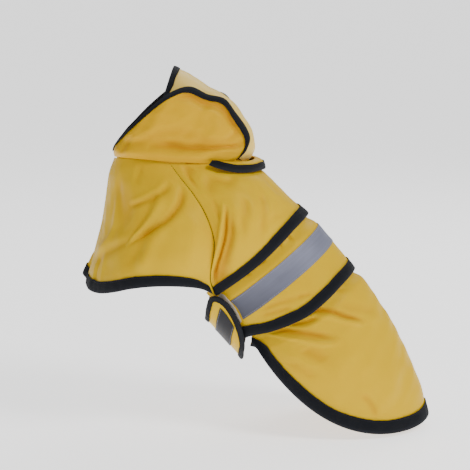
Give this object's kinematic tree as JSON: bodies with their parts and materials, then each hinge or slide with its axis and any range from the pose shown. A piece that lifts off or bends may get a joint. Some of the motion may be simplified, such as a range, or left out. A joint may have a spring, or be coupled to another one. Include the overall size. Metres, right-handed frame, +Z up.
{
  "type": "dog raincoat",
  "caption": "Hooded dog raincoat in coated cloth: yoke, lapped fronts, taped back band with belly strap and a rounded rear panel, all edges bound; worn shape, sitting.",
  "frame": {"origin": "the wearer's withers, just inside the cloth of the yoke's back line", "axes": "+Z up; -X towards the wearer's head and chest, +X towards its tail; -Y is the wearer's left side, the one the picture shows"},
  "size_m": [0.3953, 0.1849, 0.4045],
  "materials": {
    "coat_cloth": "coated yellow rain cloth with a soft sheen",
    "binding_tape": "black folded binding tape, fine rib",
    "reflective_tape": "grey retro-reflective tape, satin",
    "hook_and_loop": "beige hook-and-loop tape, matt"
  },
  "bodies": {
    "root": {"yoke": "coat_cloth", "yoke_binding": "binding_tape", "front_left": "coat_cloth", "front_binding_left": "binding_tape", "front_right": "coat_cloth", "front_binding_right": "binding_tape", "chest_hook_tape": "hook_and_loop", "chest_loop_tape": "hook_and_loop", "back_band": "coat_cloth", "band_binding": "binding_tape", "belly_strap": "coat_cloth", "strap_binding": "binding_tape", "strap_loop_tape": "hook_and_loop", "strap_hook_tape": "hook_and_loop", "reflective_tape_back": "reflective_tape", "reflective_tape_strap": "reflective_tape", "rear_panel": "coat_cloth", "rear_binding": "binding_tape", "hood_left": "coat_cloth", "hood_right": "coat_cloth", "hood_binding_left": "binding_tape", "hood_binding_right": "binding_tape", "hood_crown": "coat_cloth", "hood_arch_binding": "binding_tape", "peak": "coat_cloth", "peak_binding": "binding_tape"}
  },
  "joints": []
}
